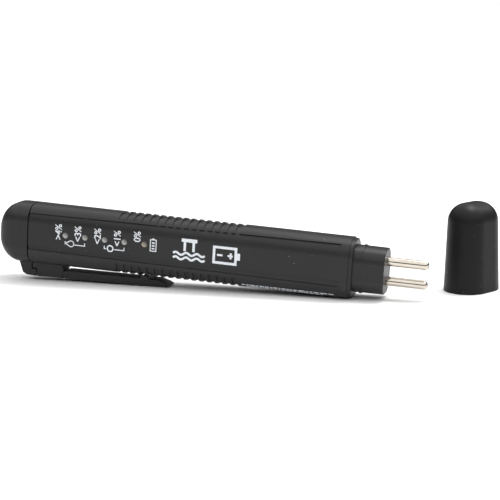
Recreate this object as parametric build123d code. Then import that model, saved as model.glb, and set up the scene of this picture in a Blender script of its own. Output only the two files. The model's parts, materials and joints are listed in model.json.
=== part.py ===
from build123d import *
import math
import os

# A pen-type fluid moisture tester: two probe pins at the nose, five indicator lamps along the
# label face, grooved grips on both narrow sides, a pocket clip and a press-in rear cap that
# also closes the battery bay. The pen is drawn straight along X, label face toward -Y and the
# clip side toward -Z. Everything is then tipped nose-down by the angle at
# which the clip tip and the collar rest on the ground, with the push-on probe cap standing
# upright beside the pins. Millimetres; the origin is the middle of the footprint.

# ---- driving dimensions -------------------------------------------------------------------
REAR_X = -1.2                 # rear end
REAR_ROUNDING = 7.6           # length over which the rear end rounds off
REAR_ROUNDING_WIDE = 8.4      # how far that rounding reaches in from the two narrow sides
REAR_ROUNDING_THICK = 4.6     # the same from the label face and the back
REAR_CAP_FRONT = 10.7         # the seam
SEAM_GAP = 0.4
PRESS_TRAVEL = 0.3            # pressing the rear cap closes the circuit
PLUNGER_X = 1.2               # inner end face of the rear cap
SPRING_SEAT_X = 20.0
PLATE_THICK = 0.5             # spring seat plate
COLLAR_X = 128.3              # front rim of the grip body
COLLAR_STEP_LENGTH = 1.3      # the rim steps in a little just before the nose
COLLAR_STEP_DEPTH = 0.4
NOSE_X = 139.1                # front face of the nose
PIN_TIP_X = 153.3             # tip of the probe pins
HALF_THICK = 7.9              # half thickness, label face to back
HALF_WIDE_REAR = 10.7         # half width at the seam
HALF_WIDE_FRONT = 10.35       # half width at the collar
CORNER_RADIUS = 5.8           # rounding between the faces and the narrow sides
WALL = 1.5                    # shell wall
NOSE_HALF_THICK = 6.5
NOSE_HALF_WIDE = 7.95
NOSE_RADIUS = 4.9
PIN_RADIUS = 1.6
PIN_ROOT_RADIUS = 1.35        # thinner part held inside the nose
PIN_ROOT_X = 127.0            # rear end of the pins, where the leads are soldered
PIN_COLLAR_X = 129.4
PIN_HALF_SPACING = 3.4
LAMP_COUNT = 5
LAMP_FIRST_X = 25.2
LABEL_MIDDLE_Z = 1.6          # the lamps and shoulder channels sit this far off the middle
LAMP_PITCH = 7.35
LAMP_RADIUS = 1.15
CHANNEL_END_X = 124.0
GROOVE_COUNT = 16
GROOVE_FIRST_X = 45.0
GROOVE_ENDS_Z = {1: 9.35, -1: -7.2}
GROOVE_PITCH = 2.83
GROOVE_HALF_WIDTH = 0.92
GROOVE_DEPTH = 0.4
BATTERY_RADIUS = 5.25         # AAA cell
BATTERY_LENGTH = 44.5
BATTERY_X = 31.5              # rear end of the cell
BATTERY_Y = 1.1               # the cell lies behind the circuit board
BOARD_START_X = 17.0
BOARD_END_X = 84.0
BOARD_FRONT_Y = -5.6
BOARD_THICK = 1.0
BOARD_HALF_WIDE = 6.0
CLIP_HALF_WIDE = 3.0
CLIP_PIVOT = (24.0, -13.85)   # x, z of the flexing root of the clip arm
CLIP_TIP_X = 62.9
CLIP_TIP_BOTTOM = -14.15
CAP_HEIGHT = 31.0
CAP_HALF_LONG = 10.35
CAP_HALF_SHORT = 7.9
CAP_TAPER = 0.885
CAP_SIDE_RADIUS = 7.4
CAP_DOME_RADIUS = 6.7
CAP_PLACE = (164.6, 23.0)     # where the cap stands, x and y before the origin is moved
CAP_TURN = -30                # turned a little about its upright axis
SOCKET_DEPTH = 11.2
RUNNING_GAP = 0.12            # rear cap skirt in the shells

CLIP_REST_X = CLIP_TIP_X - 1.2
COLLAR_REST_X = COLLAR_X - COLLAR_STEP_LENGTH
REST_TILT = math.degrees(math.atan((-CLIP_TIP_BOTTOM - HALF_WIDE_FRONT) / (COLLAR_REST_X - CLIP_REST_X)))
INNER_THICK = HALF_THICK - WALL
INNER_REAR = HALF_WIDE_REAR - WALL
INNER_FRONT = HALF_WIDE_FRONT - WALL
INNER_RADIUS = CORNER_RADIUS - WALL
BODY_START_X = REAR_CAP_FRONT + SEAM_GAP
BOARD_BACK_Y = BOARD_FRONT_Y + BOARD_THICK


# ---- helpers ------------------------------------------------------------------------------
def section(x, half_thick, half_wide, radius):
    """Rounded rectangle across the pen at x."""
    plane = Plane(origin=(x, 0, 0), x_dir=(0, 1, 0), z_dir=(1, 0, 0))
    return plane * RectangleRounded(2 * half_thick, 2 * half_wide, radius)


def bar(x_start, x_end, start, end):
    """Loft along the pen between two (half thickness, half width, radius) sections."""
    return loft([section(x_start, *start), section(x_end, *end)])


def half_wide_at(x):
    """Half width of the tapering grip body at x."""
    share = (x - BODY_START_X) / (COLLAR_X - BODY_START_X)
    return HALF_WIDE_REAR + share * (HALF_WIDE_FRONT - HALF_WIDE_REAR)


def box(x_range, y_range, z_range):
    """Axis-aligned block from three (low, high) pairs."""
    size = [high - low for low, high in (x_range, y_range, z_range)]
    low = [pair[0] for pair in (x_range, y_range, z_range)]
    return Pos(*low) * Box(*size, align=(Align.MIN, Align.MIN, Align.MIN))


def rod_x(x_start, x_end, radius, y=0.0, z=0.0):
    """Round bar along X."""
    return Pos(x_start, y, z) * (Rot(0, 90, 0) * Cylinder(radius, x_end - x_start, align=(
        Align.CENTER, Align.CENTER, Align.MIN)))


def rod_y(y_start, y_end, radius, x=0.0, z=0.0):
    """Round bar along Y."""
    return Pos(x, y_start, z) * (Rot(-90, 0, 0) * Cylinder(radius, y_end - y_start, align=(
        Align.CENTER, Align.CENTER, Align.MIN)))


def side_prism(outline, half_depth):
    """Prism along Y from a closed outline of (x, z) points."""
    plane = Plane(origin=(0, half_depth, 0), x_dir=(1, 0, 0), z_dir=(0, -1, 0))
    return extrude(plane * make_face(Polyline(*outline, close=True)), amount=2 * half_depth)


def inset_body(depth):
    """The grip body's outside pushed in by depth (out where depth is negative)."""
    radius = CORNER_RADIUS - depth
    return bar(
        BODY_START_X, COLLAR_X,
        (HALF_THICK - depth, HALF_WIDE_REAR - depth, radius),
        (HALF_THICK - depth, HALF_WIDE_FRONT - depth, radius),
    )


# ---- housing ------------------------------------------------------------------------------
def grip_grooves(side):
    """Prisms that bound the finger grooves on one narrow side, each with a half-round end."""
    end_z = GROOVE_ENDS_Z[side]
    reach = HALF_WIDE_REAR + 1 - side * end_z
    tongue = Rectangle(2 * GROOVE_HALF_WIDTH, reach, align=(Align.CENTER, Align.MIN))
    tongue = tongue + Circle(GROOVE_HALF_WIDTH)
    plane = Plane(origin=(0, HALF_THICK + 1, 0), x_dir=(1, 0, 0), z_dir=(0, -1, 0))
    prisms = []
    for i in range(GROOVE_COUNT):
        spot = Pos(GROOVE_FIRST_X + i * GROOVE_PITCH, end_z) * Rot(0, 0, 90 - 90 * side)
        prisms.append(extrude(plane * (spot * tongue), amount=2 * HALF_THICK + 2))
    return prisms


def shoulder_channel(side):
    """Outline prism of the shallow step that runs between the flat face and the narrow side."""
    near_edge = LABEL_MIDDLE_Z + side * 5.1
    outline = [
        (BODY_START_X - 1, near_edge),
        (CHANNEL_END_X, near_edge),
        (CHANNEL_END_X, LABEL_MIDDLE_Z + side * 7.3),
        (BODY_START_X - 1, LABEL_MIDDLE_Z + side * 6.5),
    ]
    return side_prism(outline, HALF_THICK + 1)


def housing():
    """Grip body, nose, grooves and cavities in one piece, before it is split into two shells."""
    outside = inset_body(0) & box((0, COLLAR_X - COLLAR_STEP_LENGTH), (-20, 20), (-20, 20))
    outside = fillet(outside.faces().sort_by(Axis.X)[-1].edges(), 0.2)
    rim = inset_body(COLLAR_STEP_DEPTH) & box((COLLAR_X - 4, COLLAR_X), (-20, 20), (-20, 20))
    outside = outside + fillet(rim.faces().sort_by(Axis.X)[-1].edges(), 0.4)
    nose = bar(
        COLLAR_X - 3, NOSE_X,
        (NOSE_HALF_THICK, NOSE_HALF_WIDE, NOSE_RADIUS),
        (NOSE_HALF_THICK - 0.1, NOSE_HALF_WIDE - 0.12, NOSE_RADIUS),
    )
    nose = fillet(nose.faces().sort_by(Axis.X)[-1].edges(), 0.35)
    snap_ridge = bar(
        COLLAR_X + 2.3, COLLAR_X + 3.1,
        (NOSE_HALF_THICK, NOSE_HALF_WIDE + 0.22, NOSE_RADIUS),
        (NOSE_HALF_THICK, NOSE_HALF_WIDE + 0.22, NOSE_RADIUS),
    )
    relief = inset_body(-1) - inset_body(GROOVE_DEPTH)
    cuts = grip_grooves(1) + grip_grooves(-1) + [shoulder_channel(1), shoulder_channel(-1)]
    cuts = relief & Compound(children=cuts)
    cavity = bar(
        BODY_START_X, COLLAR_X - 2.5,
        (INNER_THICK, INNER_REAR, INNER_RADIUS),
        (INNER_THICK, INNER_FRONT, INNER_RADIUS),
    )
    nose_cavity = bar(
        COLLAR_X - 3, NOSE_X - 2.0,
        (NOSE_HALF_THICK - WALL, NOSE_HALF_WIDE - WALL, NOSE_RADIUS - WALL),
        (NOSE_HALF_THICK - WALL, NOSE_HALF_WIDE - WALL, NOSE_RADIUS - WALL),
    )
    body = outside + nose + snap_ridge
    body = body - cuts
    body = body - cavity - nose_cavity
    for side in (-1, 1):
        body = body - rod_x(NOSE_X - 3, NOSE_X + 1, PIN_ROOT_RADIUS + 0.02, z=side * PIN_HALF_SPACING)
    return body


def front_shell(body):
    """Label-side shell with the lamp windows and four posts for the circuit board."""
    shell = body & box((0, NOSE_X + 1), (-20, 0), (-20, 20))
    for i in range(LAMP_COUNT):
        x = LAMP_FIRST_X + i * LAMP_PITCH
        shell = shell - rod_y(-HALF_THICK - 1, -4, LAMP_RADIUS + 0.06, x, LABEL_MIDDLE_Z)
    for x in (BOARD_START_X + 3, BOARD_END_X - 3):
        for z in (-BOARD_HALF_WIDE + 1.5, BOARD_HALF_WIDE - 1.5):
            shell = shell + rod_y(-INNER_THICK - 0.4, BOARD_FRONT_Y, 1.2, x, z)
    return shell


def back_shell(body):
    """Plain back shell with two ribs that cradle the battery."""
    shell = body & box((0, NOSE_X + 1), (0, 20), (-20, 20))
    for x in (BATTERY_X + 6, BATTERY_X + BATTERY_LENGTH - 8):
        wide = half_wide_at(x) - WALL + 0.3
        rib = section(x, INNER_THICK + 0.3, wide, INNER_RADIUS)
        rib = extrude(rib, amount=1.2) & box((0, 140), (0, 20), (-20, 20))
        rib = rib - rod_x(x - 1, x + 3, BATTERY_RADIUS + 0.1, y=BATTERY_Y)
        rib = rib - box((x - 1, x + 3), (-1, 2.0), (6.9, 7.9))
        shell = shell + rib
    return shell


# ---- rear cap, battery plunger and spring ---------------------------------------------------
def rear_rounding():
    """Rear end of the cap, rounded off like an ellipse in both directions."""
    sections = []
    for step in range(7):
        turn = math.radians(15 * step)
        inset = 1 - math.cos(turn)
        sections.append(section(
            REAR_X + REAR_ROUNDING * (1 - math.sin(turn)),
            HALF_THICK - REAR_ROUNDING_THICK * inset,
            HALF_WIDE_REAR - REAR_ROUNDING_WIDE * inset,
            CORNER_RADIUS * (1 - 0.65 * inset),
        ))
    return loft(sections)


def rear_cap():
    """Hollow end cap with the heel of the clip and a skirt that guides it in the shells."""
    full = (HALF_THICK, HALF_WIDE_REAR, CORNER_RADIUS)
    outside = bar(REAR_X + REAR_ROUNDING, REAR_CAP_FRONT, full, full) + rear_rounding()
    heel = side_prism(
        [(5.6, -9.6), (10.7, -9.6), (10.7, -13.0), (12.4, -13.0), (12.4, -15.5), (8.9, -15.35),
         (7.4, -14.6)],
        CLIP_HALF_WIDE,
    )
    skirt = bar(
        REAR_CAP_FRONT - 1, REAR_CAP_FRONT + 4.5,
        (INNER_THICK - RUNNING_GAP, INNER_REAR - RUNNING_GAP, INNER_RADIUS),
        (INNER_THICK - RUNNING_GAP - 0.02, INNER_REAR - RUNNING_GAP - 0.02, INNER_RADIUS),
    )
    bottom = bar(
        PLUNGER_X, PLUNGER_X + 4,
        (INNER_THICK - 1.1, 5.8, 3.0),
        (INNER_THICK - 1.1, 5.8, 3.0),
    )
    hollow = bar(
        PLUNGER_X + 3, REAR_CAP_FRONT + 5,
        (INNER_THICK - 1.1, INNER_REAR - 1.1, INNER_RADIUS - 1),
        (INNER_THICK - 1.1, INNER_REAR - 1.1, INNER_RADIUS - 1),
    )
    return outside + heel + skirt - bottom - hollow


def battery_plunger():
    """Stepped tube that reaches from the rear cap to the spring seat."""
    flange = rod_x(PLUNGER_X, 3.4, 5.2)
    tube = rod_x(3.4, SPRING_SEAT_X, 4.2, y=0.4)
    bore = rod_x(3.4, SPRING_SEAT_X - 1.4, 3.0, y=0.4)
    return flange + tube - bore


def spring_plate():
    """Plated seat that carries the spring and takes the current to the side strip."""
    disc = rod_x(SPRING_SEAT_X, SPRING_SEAT_X + PLATE_THICK, 4.4, y=0.8)
    tab = box((SPRING_SEAT_X, SPRING_SEAT_X + PLATE_THICK), (0.2, 1.8), (4.0, 7.6))
    return disc + tab


def battery_spring():
    """Conical coil whose tip meets the cell when the rear cap is pressed in."""
    wire = 0.3
    start = SPRING_SEAT_X + PLATE_THICK + wire
    length = BATTERY_X - PRESS_TRAVEL - 0.04 - wire - start
    turns = 5
    path = Helix(pitch=length / turns, height=length, radius=3.4, cone_angle=-8)
    coil = sweep((path ^ 0) * Circle(wire), path=path)
    return Pos(start, 0.8, 0) * (Rot(0, 90, 0) * coil)


# ---- clip ------------------------------------------------------------------------------------
def clip_base():
    """Block that joins the clip to the underside of the grip body, with a socket for the arm."""
    outline = [
        (BODY_START_X, -10.0), (BODY_START_X, -12.6), (12.8, -12.6), (12.8, -15.5), (23.0, -15.25),
        (23.0, -12.0), (21.6, -10.0),
    ]
    block = side_prism(outline, CLIP_HALF_WIDE)
    socket = rod_y(-5, 5, 1.5, *CLIP_PIVOT)
    body = bar(
        BODY_START_X - 1, 40,
        (HALF_THICK, half_wide_at(BODY_START_X - 1), CORNER_RADIUS),
        (HALF_THICK, half_wide_at(40), CORNER_RADIUS),
    )
    return block - socket - body


def clip_arm():
    """Springy arm with a round bead that presses on the body and an upturned tip."""
    outline = [
        (CLIP_PIVOT[0], -15.2), (CLIP_REST_X, CLIP_TIP_BOTTOM), (CLIP_TIP_X, -13.55),
        (CLIP_TIP_X - 1.6, -12.75), (58.6, -11.95), (50.0, -11.95), (CLIP_PIVOT[0], -12.5),
    ]
    arm = side_prism(outline, CLIP_HALF_WIDE)
    knuckle = rod_y(-CLIP_HALF_WIDE, CLIP_HALF_WIDE, 1.35, *CLIP_PIVOT)
    bead = rod_y(-CLIP_HALF_WIDE, CLIP_HALF_WIDE, 1.5, 53.4, -12.15)
    return arm + knuckle + bead


# ---- lamps, circuit and battery -----------------------------------------------------------------
def lamp(index):
    """Indicator lamp: a flanged frosted lens standing on the board."""
    x = LAMP_FIRST_X + index * LAMP_PITCH
    flange = rod_y(-6.35, BOARD_FRONT_Y, 1.6, x, LABEL_MIDDLE_Z)
    lens = rod_y(-HALF_THICK - 0.05, -6.35, LAMP_RADIUS, x, LABEL_MIDDLE_Z)
    lens = fillet(lens.edges().filter_by(GeomType.CIRCLE).sort_by(Axis.Y)[0], 0.3)
    return flange + lens


def circuit_board():
    """Board that carries the lamps on its label side."""
    z_range = (-BOARD_HALF_WIDE, BOARD_HALF_WIDE)
    return box((BOARD_START_X, BOARD_END_X), (BOARD_FRONT_Y, BOARD_BACK_Y), z_range)


def control_chip():
    """Comparator chip between the lamps and the front end of the board."""
    return box((61.0, 66.0), (BOARD_FRONT_Y - 0.7, BOARD_FRONT_Y), (-2.0, 2.0))


def lamp_resistors():
    """One small resistor beside each lamp."""
    blocks = []
    for i in range(LAMP_COUNT):
        x = LAMP_FIRST_X + i * LAMP_PITCH
        blocks.append(box((x - 1.0, x + 1.0), (BOARD_FRONT_Y - 0.5, BOARD_FRONT_Y), (-3.0, -1.8)))
    return Compound(children=blocks)


def capacitor():
    """Smoothing capacitor on the back of the board, ahead of the cell."""
    return rod_y(BOARD_BACK_Y, 0.6, 2.0, 81.2)


def battery():
    """AAA cell with its positive button toward the nose."""
    can = rod_x(BATTERY_X, BATTERY_X + BATTERY_LENGTH - 1.0, BATTERY_RADIUS, y=BATTERY_Y)
    can = fillet(can.edges().filter_by(GeomType.CIRCLE), 0.4)
    button = rod_x(BATTERY_X + BATTERY_LENGTH - 1.5, BATTERY_X + BATTERY_LENGTH, 1.9, y=BATTERY_Y)
    return can + button


def front_contact():
    """Plate that takes the positive button, with a foot on the board."""
    x = BATTERY_X + BATTERY_LENGTH
    plate = box((x, x + 0.4), (BOARD_BACK_Y, 4.6), (-3.2, 3.2))
    foot = box((x + 0.4, x + 2.0), (BOARD_BACK_Y, BOARD_BACK_Y + 0.4), (-3.2, 3.2))
    return plate + foot


def side_strip():
    """Plated strip that brings the negative side from the spring seat to the board."""
    start = SPRING_SEAT_X + PLATE_THICK + PRESS_TRAVEL + 0.03
    strip = box((start, 84.0), (0.3, 1.7), (7.2, 7.6))
    leg = box((82.6, 84.0), (BOARD_BACK_Y, 0.3), (7.2, 7.6))
    foot = box((82.6, 84.0), (BOARD_BACK_Y, BOARD_BACK_Y + 0.4), (4.2, 7.2))
    return strip + leg + foot


# ---- probe pins -----------------------------------------------------------------------------------
def probe_pin(side):
    """Plated pin with a rounded tip and a collar that the holder traps."""
    z = side * PIN_HALF_SPACING
    probe = rod_x(NOSE_X + 0.02, PIN_TIP_X, PIN_RADIUS, z=z)
    tip = probe.edges().filter_by(GeomType.CIRCLE).sort_by(Axis.X)[-1]
    probe = fillet(tip, 1.3)
    root = rod_x(PIN_ROOT_X, NOSE_X + 0.1, PIN_ROOT_RADIUS, z=z)
    collar = rod_x(PIN_COLLAR_X, PIN_COLLAR_X + 1.0, 2.2, z=z)
    return probe + root + collar


def pin_holder():
    """Insulating block in the nose that keeps the two pins apart."""
    block = bar(
        PIN_COLLAR_X + 1.0, NOSE_X - 2.5,
        (NOSE_HALF_THICK - WALL - 0.05, NOSE_HALF_WIDE - WALL - 0.05, NOSE_RADIUS - WALL),
        (NOSE_HALF_THICK - WALL - 0.05, NOSE_HALF_WIDE - WALL - 0.05, NOSE_RADIUS - WALL),
    )
    for side in (-1, 1):
        block = block - rod_x(PIN_COLLAR_X, NOSE_X, PIN_ROOT_RADIUS + 0.02, z=side * PIN_HALF_SPACING)
    return block


def pin_lead(side):
    """Insulated wire from the front of the board to the rear of one pin."""
    z = side * PIN_HALF_SPACING
    radius = 0.5
    path = Spline(
        (85.0, BOARD_BACK_Y - 0.4, z), (96.0, -3.4, z * 1.3), (112.0, -1.2, z * 0.8), (PIN_ROOT_X, 0.0, z),
        tangents=[(1, 0, 0), (1, 0, 0)],
    )
    return sweep((path ^ 0) * Circle(radius), path=path)


# ---- protective cap -----------------------------------------------------------------------------------
def protective_cap():
    """Push-on probe cap standing on its mouth: oval, slightly tapered, domed, with a two-step hollow."""
    plane = Plane(origin=(0, 0, 0), x_dir=(1, 0, 0), z_dir=(0, 0, 1))
    top = plane.offset(CAP_HEIGHT)
    mouth = RectangleRounded(2 * CAP_HALF_SHORT, 2 * CAP_HALF_LONG, CAP_SIDE_RADIUS)
    crown = RectangleRounded(
        2 * CAP_HALF_SHORT * CAP_TAPER, 2 * CAP_HALF_LONG * CAP_TAPER, CAP_SIDE_RADIUS * CAP_TAPER)
    outside = loft([plane * mouth, top * crown])
    outside = fillet(outside.faces().sort_by(Axis.Z)[-1].edges(), CAP_DOME_RADIUS)
    outside = chamfer(outside.faces().sort_by(Axis.Z)[0].edges(), 0.25)
    socket = extrude(plane * RectangleRounded(
        2 * NOSE_HALF_THICK + 0.3, 2 * NOSE_HALF_WIDE + 0.3, NOSE_RADIUS), amount=SOCKET_DEPTH)
    pin_room = extrude(plane * RectangleRounded(8.0, 12.6, 2.5), amount=CAP_HEIGHT - 3.4)
    return Pos(*CAP_PLACE, 0) * (Rot(0, 0, CAP_TURN) * (outside - socket - pin_room))


# ---- assembly -----------------------------------------------------------------------------------------
def tipped(shape):
    """Turn the straight pen to its rest: clip tip and collar on the ground."""
    lean = math.radians(REST_TILT)
    ground = CLIP_TIP_BOTTOM * math.cos(lean) - CLIP_REST_X * math.sin(lean)
    return Pos(0, 0, -ground) * (Rot(0, REST_TILT, 0) * shape)


def build_all():
    """Every node of the tester, in place."""
    body = housing()
    pen = {
        "front_shell": front_shell(body),
        "back_shell": back_shell(body),
        "rear_cap": rear_cap(),
        "battery_plunger": battery_plunger(),
        "spring_plate": spring_plate(),
        "battery_spring": battery_spring(),
        "clip_base": clip_base(),
        "clip_arm": clip_arm(),
        "circuit_board": circuit_board(),
        "control_chip": control_chip(),
        "lamp_resistors": lamp_resistors(),
        "capacitor": capacitor(),
        "battery": battery(),
        "front_contact": front_contact(),
        "side_strip": side_strip(),
        "probe_pin_upper": probe_pin(1),
        "probe_pin_lower": probe_pin(-1),
        "pin_holder": pin_holder(),
        "pin_lead_upper": pin_lead(1),
        "pin_lead_lower": pin_lead(-1),
    }
    for i in range(LAMP_COUNT):
        pen[f"lamp_{i + 1}"] = lamp(i)
    placed = {name: tipped(shape) for name, shape in pen.items()}
    placed["protective_cap"] = protective_cap()
    return placed


def main():
    """Move the origin to the middle of the footprint and write one file per node."""
    placed = build_all()
    bounds = [shape.bounding_box() for shape in placed.values()]
    x_middle = (min(b.min.X for b in bounds) + max(b.max.X for b in bounds)) / 2
    y_middle = (min(b.min.Y for b in bounds) + max(b.max.Y for b in bounds)) / 2
    floor = min(b.min.Z for b in bounds)
    print("tilt", round(REST_TILT, 3), "moved by", x_middle, y_middle, floor)
    os.makedirs("parts", exist_ok=True)
    for name, shape in placed.items():
        moved = Pos(-x_middle, -y_middle, -floor) * shape
        moved.label = name
        export_step(moved, f"parts/{name}.step")


main()
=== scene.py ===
# %% [markdown]
# # A pen-type moisture tester, dressed in Blender
#
# The pen tests how much water a liquid holds. Two plated pins go into the liquid, one of five lamps
# lights up, and a cap keeps the pins clean in a pocket. The design is loaded as a fixed frame: every
# solid already has its size and place, so this lesson only adds what a design tool leaves out, which
# is moulded plastic, plated metal, frosted lamps and white ink.

# %% Load the frame
import json
import math
import random

import bmesh
import bpy
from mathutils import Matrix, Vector


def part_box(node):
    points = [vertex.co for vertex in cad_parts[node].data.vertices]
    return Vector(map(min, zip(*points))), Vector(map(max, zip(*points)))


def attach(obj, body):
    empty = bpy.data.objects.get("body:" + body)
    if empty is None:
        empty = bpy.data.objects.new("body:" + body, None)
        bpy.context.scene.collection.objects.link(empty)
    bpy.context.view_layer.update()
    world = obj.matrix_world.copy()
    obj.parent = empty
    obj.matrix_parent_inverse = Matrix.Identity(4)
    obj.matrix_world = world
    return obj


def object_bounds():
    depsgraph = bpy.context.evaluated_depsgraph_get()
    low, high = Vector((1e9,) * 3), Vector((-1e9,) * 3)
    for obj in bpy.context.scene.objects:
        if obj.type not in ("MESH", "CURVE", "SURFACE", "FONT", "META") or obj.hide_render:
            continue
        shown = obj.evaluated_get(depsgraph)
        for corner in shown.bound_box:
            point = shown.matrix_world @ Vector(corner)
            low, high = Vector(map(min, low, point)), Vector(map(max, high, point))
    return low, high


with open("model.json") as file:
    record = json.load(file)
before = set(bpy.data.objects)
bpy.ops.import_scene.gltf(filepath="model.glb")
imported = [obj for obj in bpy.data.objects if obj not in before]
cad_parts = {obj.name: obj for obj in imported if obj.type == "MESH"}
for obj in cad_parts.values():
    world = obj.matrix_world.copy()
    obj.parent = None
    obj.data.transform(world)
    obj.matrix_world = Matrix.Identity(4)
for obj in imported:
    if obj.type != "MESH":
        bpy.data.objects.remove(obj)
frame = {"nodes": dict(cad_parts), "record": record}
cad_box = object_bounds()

nodes = frame["nodes"]
print("design pieces:", len(nodes), "box:", [tuple(round(v, 4) for v in corner) for corner in cad_box])

# %% [markdown]
# ## A ruler that lies along the pen
#
# The pen rests nose-down on its clip, so hardly anything on it is square to the world. The two probe
# pins are stated in the record with their place and direction, and from them a small function is
# worked out that takes millimetres along the pen, toward its back and across it, and answers in world
# metres. Anything printed on the pen can then be described the way a drawing would do it.

# %% The pen's own axes
mounts = {mount["name"]: mount for mount in frame["record"]["mounts"]}
upper = Vector(mounts["upper_pin"]["pos_m"])
lower = Vector(mounts["lower_pin"]["pos_m"])
ALONG = Vector(mounts["upper_pin"]["axis"]).normalized()
ACROSS = (upper - lower).normalized()
BACKWARD = Vector((0, 1, 0))
PIN_MOUNT_X = 145.5  # both pin mounts are this many millimetres along the pen
MM = 0.001


def pen(x, y, z):
    """World point of a place on the pen: x along it, y to the back, z toward the upper side, in mm."""
    return (upper + lower) / 2 + MM * ((x - PIN_MOUNT_X) * ALONG + y * BACKWARD + z * ACROSS)


print("nose-down tilt:", round(math.degrees(math.asin(-ALONG.z)), 2), "degrees")

# %% [markdown]
# ## Shader maths as ordinary Python
#
# A node tree is a drawing of a formula. Here the formula is written instead: `Flow` wraps one output
# socket, and adding or multiplying two of them adds the Math node that does it. `Tree` is any node
# tree, with one method, `add`, for every other kind of node, and `Finish` is a tree that ends in one
# material.

# %% Flow, Tree and Finish
class Flow:
    """A node's output that can be used in a Python expression."""

    def __init__(self, finish, socket):
        self.finish = finish
        self.socket = socket

    def maths(self, operation, *values):
        return self.finish.add("ShaderNodeMath", {"operation": operation}, dict(enumerate(values)))

    def __add__(self, other):
        return self.maths("ADD", self, other)

    def __radd__(self, other):
        return self.maths("ADD", other, self)

    def __sub__(self, other):
        return self.maths("SUBTRACT", self, other)

    def __rsub__(self, other):
        return self.maths("SUBTRACT", other, self)

    def __mul__(self, other):
        return self.maths("MULTIPLY", self, other)

    def __rmul__(self, other):
        return self.maths("MULTIPLY", other, self)

    def between(self, low, high):
        """0 below low, 1 above high, and a smooth rise in between."""
        sockets = {"Value": self, "From Min": low, "From Max": high}
        return self.finish.add("ShaderNodeMapRange", {"interpolation_type": "SMOOTHSTEP"}, sockets)


class Tree:
    """A node tree that formulas can be written into."""

    def __init__(self, tree):
        self.tree = tree

    def add(self, kind, settings, sockets, output=0):
        """A new node: its settings first, then a value or a Flow for each socket."""
        node = self.tree.nodes.new(kind)
        for name, value in settings.items():
            setattr(node, name, value)
        self.feed(node, sockets)
        return Flow(self, node.outputs[output])

    def feed(self, node, sockets):
        """Link every Flow to its socket and set every plain value."""
        for name, value in sockets.items():
            if isinstance(value, Flow):
                self.tree.links.new(value.socket, node.inputs[name])
            else:
                node.inputs[name].default_value = value


class Finish(Tree):
    """One material built around a Principled shader."""

    def __init__(self, name, **surface):
        self.material = bpy.data.materials.new(name)
        self.material.use_nodes = True
        super().__init__(self.material.node_tree)
        self.shader = self.tree.nodes["Principled BSDF"]
        self.surface(**surface)

    def surface(self, **sockets):
        """Give the shader's sockets, with _ for a space in their names."""
        self.feed(self.shader, {name.replace("_", " "): value for name, value in sockets.items()})

    def place(self):
        """Where a point is, in metres of the object's own space."""
        return self.add("ShaderNodeTexCoord", {}, {}, "Object")

    def stretched(self, x, y, z):
        """Places scaled by a different amount along each axis, for grain that runs one way."""
        sockets = {0: self.place(), 1: (x, y, z)}
        return self.add("ShaderNodeVectorMath", {"operation": "MULTIPLY"}, sockets)

    def cloudy(self, size_mm, detail=3.0, where=None):
        """Soft noise from 0 to 1 whose blotches are about size_mm across."""
        sockets = {"Vector": where or self.place(), "Scale": 1000.0 / size_mm, "Detail": detail}
        return self.add("ShaderNodeTexNoise", {}, sockets, "Fac")

    def tint(self, mask, first, second, blend="MIX"):
        """A colour that goes from first to second as mask goes from 0 to 1."""
        colours = [c if isinstance(c, Flow) else (*c, 1.0) for c in (first, second)]
        settings = {"data_type": "RGBA", "blend_type": blend}
        return self.add("ShaderNodeMix", settings, {0: mask, 6: colours[0], 7: colours[1]}, 2)

    def bump(self, height, depth_mm):
        """Relief of about depth_mm, given to the shader's normal."""
        self.surface(Normal=self.add("ShaderNodeBump", {}, {"Height": height, "Distance": depth_mm * MM}))


def wear(finish, *names):
    """Give one finish to design pieces by name."""
    for name in names:
        nodes[name].data.materials.clear()
        nodes[name].data.materials.append(finish.material)
    print(finish.material.name, "on", ", ".join(names))


# %% [markdown]
# ## Satin black plastic
#
# The shells, the rear cap and the clip are moulded in black ABS. The mould is spark-eroded, which
# leaves a very fine even pebble that breaks every reflection, so the plastic is satin and never
# mirror-like. Handling polishes it in soft patches, and a few hairline scratches run mostly along
# the pen, because that is how it slides into a pocket. All of it is noise in object space, so it
# needs no unwrapping and keeps its real size.

# %% The shell plastic
DUST_GREY = (0.42, 0.41, 0.40)
SCRATCH_RUN = 0.035  # noise squeezed to this share along x draws out into long thin strokes


def satin_plastic(name, dark, light, rough, pebble_mm, shine):
    """Spark-textured black plastic: colour drift, polished patches, pebble, scratches and dust."""
    finish = Finish(name, IOR=1.5, Specular_IOR_Level=shine)
    drift = finish.cloudy(14.0)
    pebble = finish.cloudy(pebble_mm, 2.0)
    patch = finish.cloudy(5.0, 5.0)
    strokes = finish.cloudy(0.5, 2.0, finish.stretched(SCRATCH_RUN, 1.0, 1.0))
    # only the very peaks of a noise are kept, so scratches and specks of dust stay rare
    scratch = strokes.between(0.735, 0.765)
    speck = finish.cloudy(0.9, 1.0).between(0.80, 0.82)
    colour = finish.tint(drift * 0.7 + pebble * 0.3, dark, light)
    dust = finish.tint(scratch * 0.10 + speck * 0.5, (0, 0, 0), DUST_GREY)
    finish.surface(Base_Color=finish.tint(1.0, colour, dust, "ADD"))
    finish.surface(Roughness=rough + patch * 0.12 - scratch * 0.06 + speck * 0.2)
    finish.bump(pebble + patch * 0.25 - scratch * 0.8, 0.012)
    return finish


shell_plastic = satin_plastic(
    "shell_plastic", dark=(0.014, 0.014, 0.015), light=(0.022, 0.022, 0.023),
    rough=0.33, pebble_mm=0.16, shine=0.27)
wear(shell_plastic, "front_shell", "back_shell", "rear_cap", "clip_base", "clip_arm")

# %% [markdown]
# ## The probe cap
#
# The cap is a separate moulding in a softer and blacker grade: its highlight on the dome is broad,
# and the sides go dark quickly. It gets the same recipe with darker colours, a finer pebble and a
# little more roughness.

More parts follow.
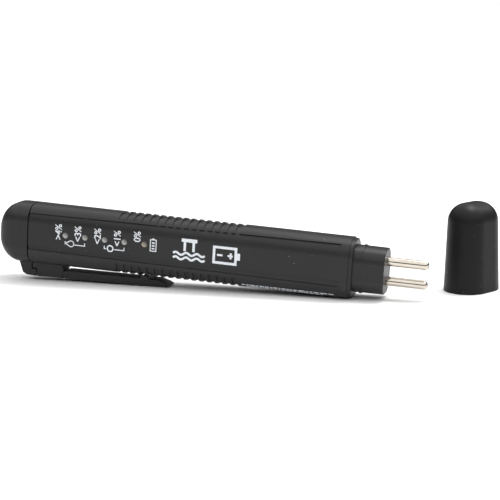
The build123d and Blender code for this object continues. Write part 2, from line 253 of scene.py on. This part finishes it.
# %% The cap plastic
cap_plastic = satin_plastic(
    "cap_plastic", dark=(0.004, 0.0037, 0.004), light=(0.008, 0.0075, 0.008),
    rough=0.38, pebble_mm=0.11, shine=0.2)
wear(cap_plastic, "protective_cap")

# %% [markdown]
# ## Plated pins
#
# The pins are turned brass with bright nickel. Nickel is a slightly warm metal. Turning leaves rings
# around the pin that catch light as very fine lines, and use dulls the plating in small clouds. The
# rings are noise that changes quickly along the pin and hardly at all around it.

# %% The nickel
nickel = Finish("bright_nickel", Metallic=1.0)
rings = nickel.cloudy(0.35, 2.0, nickel.stretched(1.0, 0.05, 0.05))
clouds = nickel.cloudy(2.2, 4.0)
nickel.surface(Base_Color=nickel.tint(clouds, (0.52, 0.47, 0.40), (0.64, 0.59, 0.52)))
nickel.surface(Roughness=0.08 + clouds.between(0.45, 0.75) * 0.10 + rings * 0.05)
nickel.bump(rings + clouds * 0.4, 0.0015)
wear(nickel, "probe_pin_upper", "probe_pin_lower")

# %% [markdown]
# ## What the shells hide
#
# The cell and its contacts show when the rear cap comes off, and the board, its parts and the leads
# show when a shell is taken away. Each gets the finish that it has in such a pen: pale plastic for
# the holders, plated strip and steel wire for the contacts, green solder mask, dark epoxy, a grey
# sleeve and red jackets. One recipe with two tones, uneven gloss and a slight relief does for all.

# %% Finishes inside the pen
def simple_finish(name, first, second, rough, size_mm, relief_mm, metallic):
    """A two-tone finish with cloudy colour, uneven gloss and a slight relief."""
    finish = Finish(name, Metallic=metallic)
    clouds = finish.cloudy(size_mm, 4.0)
    fine = finish.cloudy(size_mm / 9, 2.0)
    finish.surface(Base_Color=finish.tint(clouds, first, second), Roughness=rough + fine * 0.12)
    finish.bump(fine + clouds * 0.5, relief_mm)
    return finish


# each finish: its two tones, roughness, blotch size and relief in mm, how metallic it is, and its pieces
INSIDE_FINISHES = {
    "inner_plastic": ((0.50, 0.49, 0.46), (0.60, 0.59, 0.56), 0.45, 4.0, 0.01, 0.0,
                      ("battery_plunger", "pin_holder")),
    "strip_plating": ((0.66, 0.63, 0.57), (0.78, 0.75, 0.69), 0.2, 3.0, 0.004, 1.0,
                      ("spring_plate", "front_contact", "side_strip")),
    "spring_wire": ((0.55, 0.55, 0.56), (0.70, 0.70, 0.71), 0.22, 1.0, 0.003, 1.0,
                    ("battery_spring",)),
    "solder_mask": ((0.010, 0.085, 0.030), (0.018, 0.125, 0.045), 0.26, 6.0, 0.01, 0.0,
                    ("circuit_board",)),
    "chip_epoxy": ((0.012, 0.012, 0.013), (0.022, 0.022, 0.024), 0.55, 1.0, 0.01, 0.0,
                   ("control_chip", "lamp_resistors")),
    "cell_sleeve": ((0.10, 0.12, 0.15), (0.14, 0.16, 0.20), 0.28, 8.0, 0.004, 0.6,
                    ("battery", "capacitor")),
    "lead_jacket": ((0.32, 0.020, 0.016), (0.42, 0.035, 0.028), 0.4, 3.0, 0.01, 0.0,
                    ("pin_lead_upper", "pin_lead_lower")),
}
for finish_name, (*recipe, pieces) in INSIDE_FINISHES.items():
    wear(simple_finish(finish_name, *recipe), *pieces)

# %% [markdown]
# ## Frosted lamps
#
# An unlit indicator lamp is a grey bead of frosted resin over a small pale cup, and the fifth one is
# a little warmer than the others. The bead gets a painted highlight toward one side and painted shade
# on its rim, where it meets its hole. Both are worked out from the distance and the direction to the
# lamp's own centre.

# %% The lamp lenses
LAMP_NAMES = [f"lamp_{i}" for i in range(1, 6)]
LAMP_TINTS = [(0.26, 0.26, 0.25)] * 4 + [(0.22, 0.19, 0.145)]
# painted highlight: the bead's colour gets paler toward this way
LIT_SIDE_WAY = Vector((-0.6, 0.0, -0.8)) / MM  # the way to the pale side, lower and to the rear, per metre
# painted shade on the bead's rim: it darkens between these distances from the lamp's centre
SHADED_RIM_INNER = 0.85 * MM
SHADED_RIM_OUTER = 1.15 * MM


def frosted_lens(name, tint):
    """Grey resin with a painted highlight on its lower rear side and painted shade at its rim, around one
    lamp's centre.
    """
    low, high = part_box(name)
    centre = (low + high) / 2
    finish = Finish(f"{name}_resin", IOR=1.5, Coat_Weight=0.5, Coat_Roughness=0.1)
    flat = finish.add("ShaderNodeVectorMath", {"operation": "MULTIPLY"}, {0: finish.place(), 1: (1, 0, 1)})
    heart = (centre.x, 0, centre.z)
    gap = finish.add("ShaderNodeVectorMath", {"operation": "DISTANCE"}, {0: flat, 1: heart}, "Value")
    toward_highlight = finish.add("ShaderNodeVectorMath", {"operation": "DOT_PRODUCT"}, {0: flat, 1: LIT_SIDE_WAY}, "Value")
    toward_highlight = toward_highlight - LIT_SIDE_WAY.dot(Vector(heart))
    grain = finish.cloudy(0.25, 3.0)
    # painted highlight: paler toward the lower rear side, with a little frosted grain
    pale = toward_highlight.between(-1.0, 1.0) * 0.85 + grain * 0.15
    # painted shade where the bead meets its hole
    rim = gap.between(SHADED_RIM_INNER, SHADED_RIM_OUTER)
    # the tint is darkened for painted shade and lifted for the painted highlight
    dark = tuple(0.16 * c for c in tint)
    bright = tuple(1.5 * c for c in tint)
    finish.surface(Base_Color=finish.tint(pale - rim * 0.3, dark, bright), Roughness=0.3 + grain * 0.15)
    finish.bump(grain, 0.01)
    return finish


for lamp_name, lamp_tint in zip(LAMP_NAMES, LAMP_TINTS):
    wear(frosted_lens(lamp_name, lamp_tint), lamp_name)

# %% [markdown]
# ## White ink
#
# The scale is pad-printed: a thin film of white ink, slightly uneven in colour. Each sign is a mesh
# 0.03 mm thick that begins 0.02 mm off the plastic, so ink and plastic never share a surface. The
# words and approval marks of such pens are left out; the percent scale stays, and a drop, a ring, a
# cell and a dipping sign say the rest.

# %% The ink and a pen to draw with
ink = Finish("white_ink", IOR=1.45)
patchy = ink.cloudy(0.45, 4.0)
ink.surface(Base_Color=ink.tint(patchy.between(0.25, 0.6), (0.56, 0.59, 0.63), (0.76, 0.79, 0.83)))
ink.surface(Roughness=0.42 + patchy * 0.2)
ink.bump(patchy, 0.008)

FACE_Y = -7.9  # the flat label face
INK_LIFT = 0.02
INK_FILM = 0.03
MITRE_LIMIT = 0.4  # keeps a very sharp corner from growing a long spike


def on_face(x, z, lift=0.0):
    """A place on the flat label face."""
    return pen(x, FACE_Y - INK_LIFT - lift, z)


def inked(name, mesh):
    """An object made of ink that rides on the pen."""
    mesh.materials.append(ink.material)
    piece = bpy.data.objects.new(name, mesh)
    bpy.context.scene.collection.objects.link(piece)
    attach(piece, "pen")


def printed(name, outlines, place=on_face):
    """One mesh of ink: each outline is a closed list of (x, z), laid on the face with a thin edge."""
    mesh = bpy.data.meshes.new(name)
    sheet = bmesh.new()
    for outline in outlines:
        bottom = [sheet.verts.new(place(x, z)) for x, z in outline]
        top = [sheet.verts.new(place(x, z, INK_FILM)) for x, z in outline]
        sheet.faces.new(top)
        for i in range(len(outline)):
            j = (i + 1) % len(outline)
            sheet.faces.new((bottom[i], bottom[j], top[j], top[i]))
    bmesh.ops.recalc_face_normals(sheet, faces=sheet.faces)
    sheet.to_mesh(mesh)
    sheet.free()
    inked(name, mesh)
    print("printed", name, "in", len(outlines), "strokes")


def stroke(points, width, closed=False):
    """Outlines of a line of ink through the points, one for each run, mitred so that they meet exactly."""
    spots = [Vector(point) for point in points]
    count = len(spots)
    sides = []
    for i, spot in enumerate(spots):
        before = spots[i - 1] if closed or i > 0 else None
        after = spots[(i + 1) % count] if closed or i < count - 1 else None
        into = (spot - before).normalized() if before else (after - spot).normalized()
        out = (after - spot).normalized() if after else into
        mitre = Vector((-into.y - out.y, into.x + out.x)).normalized()
        mitre *= width / 2 / max(mitre.dot(Vector((-into.y, into.x))), MITRE_LIMIT)
        sides.append((spot + mitre, spot - mitre))
    runs = count if closed else count - 1
    corners = [(sides[i], sides[(i + 1) % count]) for i in range(runs)]
    return [[tuple(a), tuple(b), tuple(c), tuple(d)] for (a, d), (b, c) in corners]


def arc(x, z, radius, start=0.0, end=360.0, steps=24):
    """Points along part of a circle, from one angle to another in degrees."""
    angles = [math.radians(start + (end - start) * i / steps) for i in range(steps + 1)]
    return [(x + radius * math.cos(angle), z + radius * math.sin(angle)) for angle in angles]


print("ink ready:", ink.material.name, "film", INK_FILM, "mm")

# %% [markdown]
# ## The percent scale
#
# The figures read from the clip side upward, each just behind its lamp. They all end at the same
# height, only the last one a little higher. Blender's built-in letter shapes are enough for plain
# figures: a text object is filled and turned into a mesh, and its points are laid on the label face.

# %% Figures beside the lamps
LAMP_FIRST_X = 25.2
LAMP_PITCH = 7.35
LAMP_Z = 1.6  # the row of lamps, above the middle of the face
FIGURES = (">4%", "<3%", "<2%", "<1%", "0%")
FIGURE_HEIGHT = 2.45
FIGURE_SHARE = 0.7  # how much of a letter's size its height takes
FIGURE_BOLD = 0.045
FIGURE_SPACING = 0.93
FIGURE_SQUEEZE = 0.97
FIGURE_GAP = 1.45  # from the figures' feet to the middle of their lamp
FIGURE_END_Z = 5.45
LAST_FIGURE_RAISED = 0.5


def figure(name, words, x, end_z):
    """Figures that read upward and end at end_z, with their feet at x."""
    curve = bpy.data.curves.new(name, "FONT")
    curve.body = words
    curve.size = FIGURE_HEIGHT / FIGURE_SHARE
    curve.offset = FIGURE_BOLD
    curve.space_character = FIGURE_SPACING
    curve.align_x = "RIGHT"
    curve.resolution_u = 6
    draft = bpy.data.objects.new(name + "_draft", curve)
    mesh = bpy.data.meshes.new_from_object(draft)
    bpy.data.objects.remove(draft)
    mesh.name = name
    for vertex in mesh.vertices:
        along_line, up_letter = vertex.co.x * FIGURE_SQUEEZE, vertex.co.y
        vertex.co = on_face(x - up_letter, end_z + along_line, INK_FILM)
    mesh.materials.clear()
    inked(name, mesh)


lamp_x = [LAMP_FIRST_X + i * LAMP_PITCH for i in range(len(FIGURES))]
figure_ends = [FIGURE_END_Z] * 4 + [FIGURE_END_Z + LAST_FIGURE_RAISED]
for i, words in enumerate(FIGURES):
    figure(f"figure_{i + 1}", words, lamp_x[i] - FIGURE_GAP, figure_ends[i])
print("figures printed beside lamps at", [round(x, 1) for x in lamp_x])

# %% [markdown]
# ## Brackets and small signs
#
# A bracket joins the two lamps that mean too much water, with a drop in it, and another joins the
# two that mean a sound liquid, with a ring. A small cell stands beside the last lamp, which also shows
# the state of the battery.

# %% Draw the brackets and small signs
LINE = 0.32
BRACKET_Z = LAMP_Z - 3.1
TICK = 1.0


def bracket(name, first, second, gap_centre, gap):
    """A bracket under two lamps with a gap for its sign."""
    left, right = lamp_x[first], lamp_x[second]
    lines = stroke([(left, BRACKET_Z + TICK), (left, BRACKET_Z), (gap_centre - gap, BRACKET_Z)], LINE)
    lines += stroke([(gap_centre + gap, BRACKET_Z), (right, BRACKET_Z), (right, BRACKET_Z + TICK)], LINE)
    printed(name, lines)


def drop(x, z, size):
    """A drop with its point to the rear: round belly, straight shoulders."""
    belly = arc(x + 0.2 * size, z, 0.5 * size, -130, 130)
    return stroke([(x - 0.8 * size, z), *belly], LINE, closed=True)


def cell(x, z, length, width, line):
    """A battery standing across the pen, its button toward the upper side."""
    l, w = length / 2, width / 2
    case = stroke([(x - w, z - l), (x + w, z - l), (x + w, z + l), (x - w, z + l)], line, closed=True)
    return case + stroke([(x - w / 2.6, z + l + line), (x + w / 2.6, z + l + line)], line)


drop_x = lamp_x[0] + 1.8
ring_x = lamp_x[2] + 2.2
bracket("bracket_wet", 0, 1, drop_x, 1.75)
printed("drop_sign", drop(drop_x, BRACKET_Z + 0.3, 2.1))
bracket("bracket_sound", 2, 3, ring_x, 1.5)
printed("ring_sign", stroke(arc(ring_x, BRACKET_Z + 0.2, 1.05)[:-1], 0.45, closed=True))
battery_sign = cell(lamp_x[4] + 3.3, LAMP_Z - 0.1, 4.0, 2.1, LINE)
for level in (-1.2, -0.2, 0.8):
    battery_sign += stroke([(lamp_x[4] + 2.8, LAMP_Z + level), (lamp_x[4] + 3.8, LAMP_Z + level)], 0.5)
printed("battery_sign", battery_sign)

# %% [markdown]
# ## Two large signs
#
# Past the lamps, two large signs say how the pen is used: a grip with two pins that dip into waves,
# and a lying cell with its minus and plus. Both are drawn with the same strokes as the small signs,
# only thicker. Where strokes would cross, as in the plus, they end at each other's edge, because two
# films in one place would flicker.

# %% Draw the large signs
DIP_X, DIP_Z = 71.0, 1.1
WAVE_LINE = 0.75
PIN_LINE = 0.9
GRIP_LINE = 1.2


def wave(x, z, length, height, count):
    """Points of a wavy line."""
    steps = 8 * count
    points = []
    for i in range(steps + 1):
        swing = math.sin(2 * math.pi * count * i / steps)
        points.append((x + length * (i / steps - 0.5), z + height * swing))
    return points


dipping = []
for row in range(2):
    dipping += stroke(wave(DIP_X, DIP_Z - 1.3 - 1.6 * row, 11.5, 0.45, 3), WAVE_LINE)
for side in (-1, 1):
    dipping += stroke([(DIP_X + side * 1.6, DIP_Z + 2.9), (DIP_X + side * 1.6, DIP_Z - 0.3)], PIN_LINE)
dipping += stroke([(DIP_X - 2.8, DIP_Z + 3.5), (DIP_X + 2.8, DIP_Z + 3.5)], GRIP_LINE)
printed("dipping_sign", dipping)

POLES_X, POLES_Z = 84.4, 0.8
POLES_CASE = ((-4.4, -2.7), (3.4, -2.7), (3.4, 2.7), (-4.4, 2.7))
CASE_LINE = 0.9
POLES_BARS = (  # start, end and width, from the sign's middle: the button, the plus in three, the minus
    ((4.4, -1.2), (4.4, 1.2), 1.1),
    ((0.5, 0.0), (1.25, 0.0), 0.7),
    ((1.95, 0.0), (2.3, 0.0), 0.7),
    ((1.6, -1.05), (1.6, 1.05), 0.7),
    ((-3.3, 0.0), (-1.3, 0.0), 0.7),
)


def beside_poles(points):
    """Points given from the middle of the poles sign, as places on the face."""
    return [(POLES_X + x, POLES_Z + z) for x, z in points]


poles = stroke(beside_poles(POLES_CASE), CASE_LINE, closed=True)
for bar_start, bar_end, bar_width in POLES_BARS:
    poles += stroke(beside_poles((bar_start, bar_end)), bar_width)
printed("poles_sign", poles)

# %% [markdown]
# ## Unreadable small print
#
# Two rows of very small text run along the rounded lower edge. At this size nobody can read them, so
# they are rows of short dashes, as long as words, laid around the corner's curve.

# %% Rows of dashes on the lower corner
CORNER_RADIUS = 5.8
CORNER_Y, CORNER_Z = -2.1, -4.75
CORNER_RISE = 0.003  # the corner's centre rises by this much per millimetre, as the body narrows
PRINT_START_X, PRINT_END_X = 90.0, 122.0
SECOND_START_X, SECOND_END_X = PRINT_START_X + 1.5, 118.0
DASH_TURN = 5.5
DASH_GAP = 0.45
SHORT_WORD, LONG_WORD = 0.5, 2.6


def on_corner(x, turn, lift=0.0):
    """A place on the lower rounding: turn in degrees from the label face toward the clip side."""
    reach = CORNER_RADIUS + INK_LIFT + lift
    angle = math.radians(turn)
    rise = CORNER_RISE * (x - PRINT_START_X)
    return pen(x, CORNER_Y - reach * math.cos(angle), CORNER_Z + rise - reach * math.sin(angle))


word_lengths = random.Random(7)
PRINT_ROWS = ((43.0, PRINT_START_X, PRINT_END_X), (52.0, SECOND_START_X, SECOND_END_X))
for row, (turn, start, end) in enumerate(PRINT_ROWS):
    dashes = []
    x = start
    while x < end:
        length = word_lengths.uniform(SHORT_WORD, LONG_WORD)
        dashes.append([(x, turn), (x, turn + DASH_TURN), (x + length, turn + DASH_TURN), (x + length, turn)])
        x += length + DASH_GAP
    printed(f"small_print_{row + 1}", dashes, on_corner)

# %% [markdown]
# ## Softened edges
#
# No moulded edge is sharp. The plastic pieces keep their exact design mesh, and a bevel modifier on
# top rounds only the edges that turn sharply, by less than a tenth of a millimetre, so that they
# catch a thin line of light.

# %% Small edge radii
EDGE_MM = 0.09
SHARP_DEGREES = 35


def soften(name):
    """A small bevel on one piece's sharp edges, as a modifier, so the design mesh is untouched."""
    bevel = nodes[name].modifiers.new("edge_radius", "BEVEL")
    bevel.width = EDGE_MM * MM
    bevel.segments = 2
    bevel.limit_method = "ANGLE"
    bevel.angle_limit = math.radians(SHARP_DEGREES)


MOULDED = ("front_shell", "back_shell", "rear_cap", "clip_base", "clip_arm")
for moulded in MOULDED:
    soften(moulded)
print("edges softened by", EDGE_MM, "mm on", len(MOULDED), "pieces")

# %% [markdown]
# ## Studio
#
# A plain pale floor runs far back. A compact soft box above draws the pale band along the pen's upper
# side and the glow on the cap's dome, a small one behind the cap lights the end of the nose, and a
# very soft overhead light keeps the floor even. The sky is pale high up and dark near the horizon,
# because bright metal shows whatever is around it, and on a pin the dark band becomes the thin dark
# line that makes it look like metal.

# %% Floor, lights and sky
FLOOR_HALF_SIZE = 6.0
CEILING_SPREAD = 120  # degrees across which the overhead light comes in
HORIZON_GLOW, ZENITH_GLOW = 0.04, 0.80
DARK_UP_TO, PALE_FROM = 0.25, 0.60  # how far upward a look points, 0 at the horizon and 1 straight up

CENTRE = (cad_box[0] + cad_box[1]) / 2
floor_mesh = bpy.data.meshes.new("floor")
floor_build = bmesh.new()
bmesh.ops.create_grid(floor_build, x_segments=1, y_segments=1, size=FLOOR_HALF_SIZE)
floor_build.to_mesh(floor_mesh)
floor_build.free()
floor = bpy.data.objects.new("floor", floor_mesh)
floor.location.z = cad_box[0].z
bpy.context.scene.collection.objects.link(floor)
pale = Finish("pale_floor", Base_Color=(0.93, 0.93, 0.93, 1.0), Roughness=0.8)
floor_mesh.materials.append(pale.material)


def soft_light(name, place, size, watts):
    """A rectangular soft box aimed at the middle of the tester."""
    lamp = bpy.data.lights.new(name, "AREA")
    lamp.shape = "RECTANGLE"
    lamp.size, lamp.size_y = size
    lamp.energy = watts
    holder = bpy.data.objects.new(name, lamp)
    holder.location = place
    holder.rotation_euler = (CENTRE - Vector(place)).to_track_quat("-Z", "Y").to_euler()
    bpy.context.scene.collection.objects.link(holder)
    print(name, "of", watts, "W at", place)


soft_light("top_box", (0.13, 0.12, 0.55), (0.22, 0.16), 1.8)
soft_light("nose_box", (0.30, 0.22, 0.34), (0.15, 0.15), 0.3)
sun_data = bpy.data.lights.new("ceiling", "SUN")
sun_data.energy = 1.6
sun_data.angle = math.radians(CEILING_SPREAD)
ceiling = bpy.data.objects.new("ceiling", sun_data)
ceiling.rotation_euler = (math.radians(12), math.radians(8), 0)
bpy.context.scene.collection.objects.link(ceiling)

world = bpy.data.worlds.new("studio")
world.use_nodes = True
sky = Tree(world.node_tree)
upward = sky.add("ShaderNodeSeparateXYZ", {}, {0: sky.add("ShaderNodeTexCoord", {}, {}, "Generated")}, "Z")
glow = HORIZON_GLOW + upward.between(DARK_UP_TO, PALE_FROM) * (ZENITH_GLOW - HORIZON_GLOW)
sky.feed(world.node_tree.nodes["Background"], {"Color": (1.0, 1.0, 1.0, 1.0), "Strength": glow})
bpy.context.scene.world = world
bpy.context.scene.view_settings.view_transform = "Standard"

# %% [markdown]
# ## Camera
#
# A long lens stands a little over half a metre away, moved 15 degrees toward the nose and raised by
# 11 degrees: the label face is almost square on, and the pins and the cap still show their depth.

# %% Camera
AZIMUTH = math.radians(15.4)
ELEVATION = math.radians(11.0)
DISTANCE = 0.564
LENS_MM = 114.2
SENSOR_MM = 36.0
NEAREST = 0.01
TARGET = Vector((0.0008, 0.0002, 0.0119))
outward = Vector((
    math.sin(AZIMUTH) * math.cos(ELEVATION), -math.cos(AZIMUTH) * math.cos(ELEVATION), math.sin(ELEVATION)))
camera_data = bpy.data.cameras.new("camera")
camera_data.lens = LENS_MM
camera_data.sensor_width = SENSOR_MM
camera_data.clip_start = NEAREST
camera = bpy.data.objects.new("camera", camera_data)
camera.location = TARGET + DISTANCE * outward
camera.rotation_euler = outward.to_track_quat("Z", "Y").to_euler()
bpy.context.scene.collection.objects.link(camera)
bpy.context.scene.camera = camera
print("camera at", [round(v, 3) for v in camera.location])
